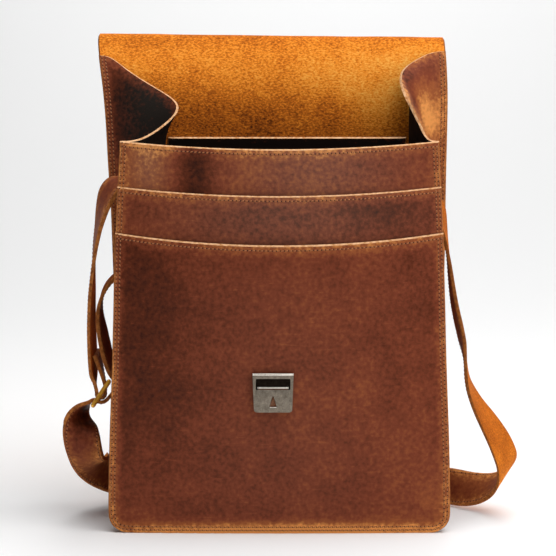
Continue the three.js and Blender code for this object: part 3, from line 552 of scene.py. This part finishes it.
def sew(name, piece, along_stretches, insets, behind=0):
    """Rows of lock stitches on a piece, along stretches of its cut line, with a dark hole between stitches.
    The rows lie behind the sheet where behind is its thickness."""
    points = []
    faces = []
    slots = []
    bpy.context.view_layer.update()
    for stretch in along_stretches:
        for inset in insets:
            row = np.array([place + inset * inward - behind * facing for place, inward, facing in stretch])
            steps = np.concatenate([[0], np.cumsum(np.linalg.norm(np.diff(row, axis=0), axis=1))])
            for half in range(2 * int(steps[-1] / STITCH_PITCH)):
                reach = half * STITCH_PITCH / 2
                spot, ahead = [
                    Vector([np.interp(at, steps, row[:, axis]) for axis in range(3)])
                    for at in (reach, reach + MM)
                ]
                place, normal = piece.closest_point_on_mesh(spot)[1:3]
                forward = ahead - spot
                forward = (forward - normal * forward.dot(normal)).normalized()
                aside = normal.cross(forward)
                forward = forward * math.cos(STITCH_SLANT) + aside * math.sin(STITCH_SLANT)
                turned = np.array([forward, normal.cross(forward), normal])
                hole = half % 2 == 0
                sizes = STITCH_HOLE if hole else STITCH
                first = len(points)
                points.extend((np.array(place) + (bead_points * sizes) @ turned).tolist())
                faces.extend([[first + v for v in face] for face in bead_faces])
                slots.extend([int(hole)] * len(bead_faces))
    mesh = bpy.data.meshes.new(name)
    mesh.from_pydata(points, [], faces)
    mesh.materials.append(THREAD)
    mesh.materials.append(HOLE)
    mesh.polygons.foreach_set("material_index", slots)
    mesh.shade_smooth()
    thread = bpy.data.objects.new(name, mesh)
    bpy.context.scene.collection.objects.link(thread)
    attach(thread, "bag")


def tint(piece, spots, deepest=1, layer="tone"):
    """Places on a piece that are lighter or darker, many of them painted light or shade, or hold more of the
    grey veil of wax bloom and painted sheen, added to a layer of its leather. A row gives the middle across
    and up, the reach across and up in mm, how much, and the lean across for each mm up, if it leans. What
    lies deeper than the deepest place stays."""
    places = np.empty(3 * len(piece.data.vertices))
    piece.data.vertices.foreach_get("co", places)
    across, depth, up = (places.reshape(-1, 3) / MM).T
    across = across - bag_x / MM
    values = piece.data.attributes.get(layer) or piece.data.attributes.new(layer, "FLOAT", "POINT")
    total = np.zeros(len(across))
    values.data.foreach_get("value", total)
    for x, z, wide, tall, amount, *leans in spots:
        aside = across - x - sum(leans) * (up - z)
        spot = amount * np.exp(-(aside / wide) ** 2 - ((up - z) / tall) ** 2)
        total += np.where(depth * MM < deepest, spot, 0)
    values.data.foreach_set("value", total)


# Painted shade inside the bag, painted light on the right corner, painted shade at the left, and the darker
# ridge
BACK_PAINTED_SHADING = [(-20, 348, 170, 34, -0.24), (110, 385, 50, 45, 0.15), (-95, 372, 40, 30, -0.1)]
RIDGE_TONES = [(0, 437, 400, 16, -0.18)]

back_low, back_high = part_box("back_flap")
bag_z = (back_low.z + back_high.z) / 2
back = one_side("back_and_flap", "back_flap", [((bag_x, back_low.y, bag_z), (0, -1, 0))])
smooth(back)
ripple(back, wide=40, high=0.8)
gusset_low, gusset_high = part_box("gusset")
seam_y = (back_low.y + back_high.y) / 2
tint(back, BACK_PAINTED_SHADING, seam_y)
tint(back, RIDGE_TONES)
back_seam = stretches(cut_line(back), lambda place, inward: place.y < seam_y and place.z < gusset_high.z)
thicken(back, HIDE_THICK, (SUEDE, GRAIN, CUT, BURNISHED))
sew("back_seam_thread", back, back_seam, SEAM_INSETS, HIDE_THICK)
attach(back, "bag")
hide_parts("back_flap")

# Gusset
# A strip of the same leather, a little thinner, runs down one side, under the bag and up the other. Its grain
# is outside, its edges turn out as flanges that are sewn to both walls, and each side is creased inwards.
GUSSET_THICK = 1.8 * MM
GUSSET_LEVELS = 2
FOLD_REACH = 125 * MM
FLANGE_TURN = 0.6

# Painted shade over the left fold and near the top of the right one, painted light low on the right fold, and
# on the right crease a painted shadow beside a painted lit strip; then places of wax bloom and painted sheen.
# All in the rows that tint reads.
GUSSET_PAINTED_SHADING = [
    (-118, 368, 42, 70, -0.52), (-98, 352, 12, 24, -0.2), (132, 358, 16, 28, 0.56), (122, 405, 20, 8, -0.15),
    (114, 396, 9, 8, -0.2), (123, 368, 2.6, 28, -0.34, -0.42), (116.5, 366, 5, 36, 0.3, -0.42),
]
GUSSET_BLOOM_AND_SHEEN = [(-118, 372, 30, 45, 0.06), (116.5, 366, 5, 36, 0.4, -0.42)]

# The flesh side inside the bag, painted near black as the deep shade there
FLESH_PAINTED_SHADE = bare_fibres("flesh side painted in deep shade", "060302", "180b05")


def on_flange(place, inward):
    """Tells the flanges' outer edges, low down or beyond the folds, from the open top edge."""
    beyond = place.z < FOLD_REACH or abs(place.x - bag_x) > FOLD_REACH
    return inward.z > -FLANGE_TURN and beyond


gusset = one_side("gusset_strip", "gusset", [
    ((bag_x, bag_y, gusset_low.z), (0, 0, -1)),
    ((bag_x, gusset_low.y, gusset_low.z), (0, 1, 0)),
    ((bag_x, gusset_high.y, gusset_low.z), (0, -1, 0)),
])
smooth(gusset, GUSSET_LEVELS)
tint(gusset, GUSSET_PAINTED_SHADING)
tint(gusset, GUSSET_BLOOM_AND_SHEEN, layer="bloom_and_sheen")
flange_seams = stretches(cut_line(gusset), on_flange)
thicken(gusset, GUSSET_THICK, (GRAIN, FLESH_PAINTED_SHADE, CUT, BURNISHED), lambda place: place.y < bag_y)
sew("gusset_seam_thread", gusset, flange_seams, SEAM_INSETS)
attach(gusset, "bag")
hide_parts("gusset")

# Front panel and pockets
# Three tiers of hide lie on each other, each lower than the one behind it and sewn through at the sides
# and bottom. Their top edges are left raw and pale, with one row of stitches under them.
TOP_INSET = 4.6 * MM
LAP = 8 * MM
TOP_TURN = 0.7

# Lighter and darker places of each tier. On the front panel, the narrow upright dark band is the painted
# shadow of a soft fold.
TIER_TONES = {
    "front_panel": [
        (-115, 325, 20, 40, 0.26), (-73, 316, 15, 60, -0.33),
        (10, 318, 60, 40, 0.08), (110, 325, 50, 30, -0.04),
    ],
    "middle_pocket": [(0, 280, 90, 30, -0.08), (110, 280, 50, 30, -0.16)],
    "front_pocket": [
        (-147, 140, 8, 120, 0.34), (-133, 175, 72, 140, -0.26), (30, 20, 120, 60, -0.05),
        (130, 20, 40, 40, 0.12), (-130, 10, 45, 40, 0.06), (130, 200, 60, 80, -0.09),
        (5, 3, 135, 8, 0.48),
    ],
}

# Places of each tier with a grey veil of wax bloom and painted sheen
TIER_BLOOM_AND_SHEEN = {
    "front_panel": [(-113, 325, 16, 40, 0.15), (30, 318, 70, 50, 0.14)],
    "middle_pocket": [(10, 280, 100, 40, 0.12)],
    "front_pocket": [(0, 110, 90, 110, 0.035)],
}

tier_parts = ("front_panel", "middle_pocket", "front_pocket")
for part, covered_by in zip(tier_parts, ("middle_pocket", "front_pocket", None)):
    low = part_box(part)[0]
    seam_from = (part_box(covered_by)[1].z if covered_by else low.z) - LAP
    tier = one_side(part + "_hide", part, [((bag_x, low.y, bag_z / 2), (0, -1, 0))])
    smooth(tier)
    ripple(tier, wide=45, high=0.9)
    tint(tier, TIER_TONES[part])
    tint(tier, TIER_BLOOM_AND_SHEEN[part], layer="bloom_and_sheen")
    line = cut_line(tier)
    side_seams = stretches(line, lambda place, inward: inward.z > -TOP_TURN and place.z > seam_from)
    top_seam = stretches(line, lambda place, inward: inward.z < -TOP_TURN)
    thicken(tier, HIDE_THICK, (GRAIN, FLESH_PAINTED_SHADE, CUT, BURNISHED))
    sew(part + "_side_thread", tier, side_seams, SEAM_INSETS)
    sew(part + "_top_thread", tier, top_seam, (TOP_INSET,))
    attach(tier, "bag")
    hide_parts(part)

# Divider
# A plain panel of hide stands between the gusset folds and parts the inside in two. Both its faces are
# painted near black for the deep shade it lies in, and only its raw top edge shows pale.
DIVIDER_PAINTED_SHADE = [(0, 300, 900, 900, -0.8)]

divider = one_side("divider_hide", "divider", [((bag_x, divider_low.y, bag_z / 2), (0, -1, 0))])
smooth(divider)
tint(divider, DIVIDER_PAINTED_SHADE)
thicken(divider, HIDE_THICK, (GRAIN, FLESH_PAINTED_SHADE, CUT, BURNISHED))
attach(divider, "bag")
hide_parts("divider")

# Tuck lock
# A pressed nickel plate on the front pocket with a slot for the tongue. Inside it a sprung slide carries
# a triangular push that shows in a window. The tongue's plate sits on the hidden end of the flap.
LOCK_TOP = 35.5
LOCK_FOOT = 33
LOCK_TALL = 34
LOCK_CORNER = 2.6
TOP_CORNER = 0.5
LOCK_RIM = 1.5
LIP_TALL = 2
BAR_TALL = 1.7
LEDGE_TALL = 1
FACE_THICK = 1.2
BACK_THICK = 0.6
EASE = 0.5
CORNER_STEPS = 6
SLOT_WIDE = 29.5
SLOT_TOP = 12.3
SLOT_FOOT = 2.8
SLOT_CORNER = 1.5
TAB_WIDE = 5.5
TAB_TALL = 2.8
ARROW_WIDE = 7
ARROW_TOP = -2
ARROW_FOOT = -12.6
ARROW_CORNER = 0.5
SLIDE_WIDE = 25.5
SLIDE_TOP = 5
SLIDE_FOOT = -13
SLIDE_DEPTH = 1.55
SLIDE_THICK = 1.3
PUSH_WIDE = 4
PUSH_TALL = 6.9
PUSH_PROUD = 0.5
PUSH_DROP = 0.7
PUSH_EASE = 0.15
PUSH_SUNK = 0.2
WALL_INSET = 0.2
THIN_EASE = 0.1
TAB_CORNER = 0.3
TAB_THICK = 0.5
LIP_PROUD = 0.3
LEDGE_SET = 0.1
BAR_PROUD = 0.2
BAR_FLAT = 0.05
BRUSH_WIDE = 0.5
TARNISH_WIDE = 4
PLATE_WELD = 0.001 * MM
PLATE_TURN = math.radians(35)
TONGUE_EASE = 0.3 * MM
METAL_WELD = 0.005 * MM
METAL_TURN = math.radians(40)


def antique_nickel(name, deep, body, pale):
    """Antiqued metal plate: brushed and dull, with a tarnish in clouds, from a deep to a pale tone."""
    material, tree, shader = new_material(name)
    place = node(tree, "TexCoord").outputs["Object"]
    brushed = node(tree, "Mapping", [("Vector", place), ("Scale", (0.5, 1.0, 1.0))])
    lines = node(tree, "TexNoise", [
        ("Vector", brushed.outputs["Vector"]), ("Scale", per_mm(BRUSH_WIDE)), ("Detail", 3.0)])
    tarnish = node(tree, "TexNoise", [("Vector", place), ("Scale", per_mm(TARNISH_WIDE)), ("Detail", 4.0)])
    both = node(tree, "Mix", [
        ("Factor", 0.5), ("A", lines.outputs["Fac"]), ("B", tarnish.outputs["Fac"])], data_type="FLOAT")
    ramp = node(tree, "ValToRGB", [("Fac", both.outputs["Result"])])
    ramp.color_ramp.elements[0].position = 0.3
    ramp.color_ramp.elements[0].color = linear(deep)
    ramp.color_ramp.elements[1].position = 0.7
    ramp.color_ramp.elements[1].color = linear(pale)
    ramp.color_ramp.elements.new(0.5).color = linear(body)
    dull = node(tree, "MapRange", [
        ("Value", tarnish.outputs["Fac"]), ("From Min", 0.3), ("From Max", 0.7),
        ("To Min", 0.3), ("To Max", 0.5)])
    bump = node(tree, "Bump", [("Strength", 0.08), ("Distance", 0.1 * MM), ("Height", lines.outputs["Fac"])])
    tree.links.new(ramp.outputs["Color"], shader.inputs["Base Color"])
    tree.links.new(dull.outputs["Result"], shader.inputs["Roughness"])
    tree.links.new(bump.outputs["Normal"], shader.inputs["Normal"])
    shader.inputs["Metallic"].default_value = 1.0
    return material


NICKEL = antique_nickel("antiqued nickel plate", "5c5349", "857b6e", "a59a8b")
# The lock's rolled edges and the window's ledge carry this near-white painted highlight
LOCK_PAINTED_HIGHLIGHT = antique_nickel("nickel plate with painted highlight", "cfc6b8", "efe8dc", "fbf7f0")
# The lock's inner walls, back and tab are painted near black as the shade inside the lock
LOCK_PAINTED_SHADE = antique_nickel("steel painted as the lock's inner shade", "0c0907", "1d1712", "2e2620")
# The slide's brown is partly tarnish and partly a painted reflection of the leather
SLIDE_TARNISH_AND_REFLECTION = antique_nickel("tarnished steel with painted reflection", "3a2018", "6e4632", "94705a")


def rounded(corners, radius, foot_radius=None):
    """A closed outline with round corners, in mm, with another radius below the middle where it is given."""
    outline = []
    for k, corner in enumerate(corners):
        before, after = corners[k - 1], corners[(k + 1) % len(corners)]
        corner, before, after = (Vector(place) for place in (corner, before, after))
        if foot_radius and corner.y < 0:
            radius = foot_radius
        start = corner + radius * (before - corner).normalized()
        end = corner + radius * (after - corner).normalized()
        for step in range(CORNER_STEPS):
            t = step / (CORNER_STEPS - 1)
            outline.append((1 - t) ** 2 * start + 2 * t * (1 - t) * corner + t * t * end)
    return outline


def plate(outlines, depth, thick, ease, material):
    """A flat metal plate in front of the pocket: its outline and its holes, how far its face lies behind the
    lock's face, its thickness and the rounding of its edges, in mm."""
    drawing = bpy.data.curves.new("outline", "CURVE")
    drawing.dimensions = "2D"
    drawing.fill_mode = "BOTH"
    drawing.bevel_depth = ease * MM
    drawing.bevel_resolution = 3
    drawing.extrude = (thick / 2 - ease) * MM
    for outline in outlines:
        spline = drawing.splines.new("POLY")
        spline.points.add(len(outline) - 1)
        spline.use_cyclic_u = True
        for point, place in zip(spline.points, outline):
            point.co = (place.x * MM, place.y * MM, 0, 1)
    place = (lock_x, lock_low.y + (depth + thick / 2) * MM, lock_z)
    piece = bpy.data.objects.new("plate", drawing)
    bpy.context.scene.collection.objects.link(piece)
    piece.location = place
    piece.rotation_euler = (math.pi / 2, 0, 0)
    select_only(piece)
    bpy.ops.object.convert(target="MESH")
    bpy.ops.object.transform_apply(location=True, rotation=True, scale=True)
    bpy.ops.object.mode_set(mode="EDIT")
    bpy.ops.mesh.select_all(action="SELECT")
    bpy.ops.mesh.remove_doubles(threshold=PLATE_WELD)
    bpy.ops.mesh.normals_make_consistent(inside=False)
    bpy.ops.object.mode_set(mode="OBJECT")
    bpy.ops.object.shade_smooth_by_angle(angle=PLATE_TURN)
    piece = bpy.context.object
    piece.data.materials.clear()
    piece.data.materials.append(material)
    return piece


def bar(wide, height, depth, tall):
    """A rolled edge of the lock, bright with a painted highlight: a flat round bar at a height, across a
    width.
    """
    half = wide / 2
    top, foot = height + BAR_FLAT, height - BAR_FLAT
    line = [Vector(corner) for corner in ((-half, top), (-half, foot), (half, foot), (half, top))]
    return plate([line], depth, tall, tall / 2, LOCK_PAINTED_HIGHLIGHT)


def joined(name, pieces, part, body):
    """Plates in one object, in place of a packed metal part."""
    bpy.ops.object.select_all(action="DESELECT")
    for piece in pieces:
        piece.select_set(True)
    bpy.context.view_layer.objects.active = pieces[0]
    bpy.ops.object.join()
    whole = bpy.context.object
    whole.name = name
    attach(whole, body)
    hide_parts(part)


def body_outline(inset):
    """The lock's outline, wider at its top, drawn in by a margin."""
    top, foot, tall = (half - inset for half in (LOCK_TOP / 2, LOCK_FOOT / 2, LOCK_TALL / 2))
    return rounded([(top, tall), (-top, tall), (-foot, -tall), (foot, -tall)], TOP_CORNER, LOCK_CORNER)


def box_outline(wide, top, foot, corner):
    """An upright rectangle between two heights."""
    half = wide / 2
    return rounded([(-half, top), (-half, foot), (half, foot), (half, top)], corner)


def arrow_outline(wide, top, foot):
    """An upright triangle between two heights."""
    return rounded([(0, top), (-wide / 2, foot), (wide / 2, foot)], ARROW_CORNER)


lock_low, lock_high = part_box("lock_plate")
lock_x = (lock_low.x + lock_high.x) / 2
lock_z = (lock_low.z + lock_high.z) / 2
lock_deep = (lock_high.y - lock_low.y) / MM
slot_hole = box_outline(SLOT_WIDE + 2 * EASE, SLOT_TOP + EASE, SLOT_FOOT - EASE, SLOT_CORNER)
arrow_hole = arrow_outline(ARROW_WIDE + 2 * EASE, ARROW_TOP + 2 * EASE, ARROW_FOOT - EASE)
joined("lock_face_plate", [
    plate([body_outline(EASE), slot_hole, arrow_hole], 0, FACE_THICK, EASE, NICKEL),
    plate([body_outline(WALL_INSET), body_outline(LOCK_RIM)],
          FACE_THICK, lock_deep - FACE_THICK, THIN_EASE, LOCK_PAINTED_SHADE),
    plate([body_outline(WALL_INSET)], lock_deep - BACK_THICK, BACK_THICK, THIN_EASE, LOCK_PAINTED_SHADE),
    plate([box_outline(TAB_WIDE, SLOT_TOP + EASE, SLOT_TOP - TAB_TALL, TAB_CORNER)],
          FACE_THICK, TAB_THICK, THIN_EASE, LOCK_PAINTED_SHADE),
    bar(LOCK_TOP - LIP_TALL, LOCK_TALL / 2 - LIP_TALL / 2, -LIP_PROUD, LIP_TALL),
    bar(ARROW_WIDE - 2 * LEDGE_TALL, ARROW_FOOT, LEDGE_SET, LEDGE_TALL),
], "lock_plate", "bag")
joined("lock_catch_slide", [
    plate([box_outline(SLIDE_WIDE, SLIDE_TOP - BAR_TALL / 2, SLIDE_FOOT, SLOT_CORNER)],
          SLIDE_DEPTH, SLIDE_THICK, THIN_EASE, SLIDE_TARNISH_AND_REFLECTION),
    bar(SLIDE_WIDE, SLIDE_TOP - BAR_TALL / 2, SLIDE_DEPTH - BAR_PROUD, BAR_TALL),
    plate([arrow_outline(PUSH_WIDE, ARROW_TOP - PUSH_DROP, ARROW_TOP - PUSH_TALL)],
          -PUSH_PROUD, SLIDE_DEPTH + PUSH_PROUD + PUSH_SUNK, PUSH_EASE, SLIDE_TARNISH_AND_REFLECTION),
], "lock_slide", "catch")


def eased(name, part, width, material):
    """A metal part with its edges eased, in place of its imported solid."""
    piece = merged_copy(name, part, METAL_WELD)
    piece.data.materials.append(material)
    modify(piece, "BEVEL", width=width, segments=3, limit_method="ANGLE", angle_limit=METAL_TURN)
    bpy.ops.object.shade_smooth_by_angle(angle=METAL_TURN)
    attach(piece, "bag")
    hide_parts(part)


eased("flap_tongue", "lock_tongue", TONGUE_EASE, NICKEL)

# Straps
# Two flat straps of thicker hide, with a row of stitches along their edges. The short one is sewn back to
# itself round the buckle. The long one runs behind the bag, flesh side out, to the right gusset.
STRAP_THICK = 3 * MM
STRAP_HALF = 17 * MM
STRAP_INSET = 3.2 * MM
ALL_BENDS = 180

# Painted shade in the top of the short strap's loop and painted light low on it, other lighter places, and
# painted light where the long strap rises, then a grey painted sheen there. All in the rows that tint reads.
STRAP_TONES_AND_SHADING = [
    (-168, 96, 30, 20, -0.32), (-158, 48, 26, 20, 0.24), (-165, 240, 60, 80, 0.04), (190, 30, 40, 30, 0.2),
    (152, 190, 14, 45, 0.25),
]
STRAP_PAINTED_SHEEN = [(150, 195, 25, 45, 0.3)]

STRAP_SUEDE = suede_leather("strap flesh side suede", level=0.3, depth=0.12)

short_low, short_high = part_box("strap_short")
long_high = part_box("strap_long")[1]
strap_sides = (
    ("strap_short", ((short_low.x, bag_y, (short_low.z + short_high.z) / 2), (-1, 0, 0))),
    ("strap_long", ((bag_x, long_high.y, STRAP_HALF), (0, -1, 0))),
)
for part, seed in strap_sides:
    strap = one_side(part + "_hide", part, [seed], bend=ALL_BENDS, rim=STRAP_THICK)
    smooth(strap)
    tint(strap, STRAP_TONES_AND_SHADING)
    tint(strap, STRAP_PAINTED_SHEEN, layer="bloom_and_sheen")
    edges = [cut_line(strap)]
    thicken(strap, STRAP_THICK, (GRAIN, STRAP_SUEDE, BURNISHED, BURNISHED))
    sew(part + "_thread", strap, edges, (STRAP_INSET,))
    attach(strap, "bag")
    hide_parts(part)

# Buckle
# A brass slide buckle, its frame and middle bar soldered in one, with its edges rounded.
BRASS_DEEP = "c88020"
BRASS_BODY = "ffbc44"
HAZE_WIDE = 4
BUCKLE_EASE = 0.2 * MM


def polished_brass():
    """Lacquered brass: warm and bright, with a faint brown haze in places."""
    material, tree, shader = new_material("lacquered brass")
    place = node(tree, "TexCoord").outputs["Object"]
    haze = node(tree, "TexNoise", [("Vector", place), ("Scale", per_mm(HAZE_WIDE)), ("Detail", 4.0)])
    ramp = node(tree, "ValToRGB", [("Fac", haze.outputs["Fac"])])
    ramp.color_ramp.elements[0].position = 0.25
    ramp.color_ramp.elements[0].color = linear(BRASS_DEEP)
    ramp.color_ramp.elements[1].position = 0.5
    ramp.color_ramp.elements[1].color = linear(BRASS_BODY)
    dull = node(tree, "MapRange", [("Value", haze.outputs["Fac"]), ("To Min", 0.25), ("To Max", 0.4)])
    tree.links.new(ramp.outputs["Color"], shader.inputs["Base Color"])
    tree.links.new(dull.outputs["Result"], shader.inputs["Roughness"])
    shader.inputs["Metallic"].default_value = 0.6
    return material


BRASS = polished_brass()
eased("slide_buckle", "buckle_frame", BUCKLE_EASE, BRASS)

size = {"cad": cad_box, "visual": [list(corner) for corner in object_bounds()]}
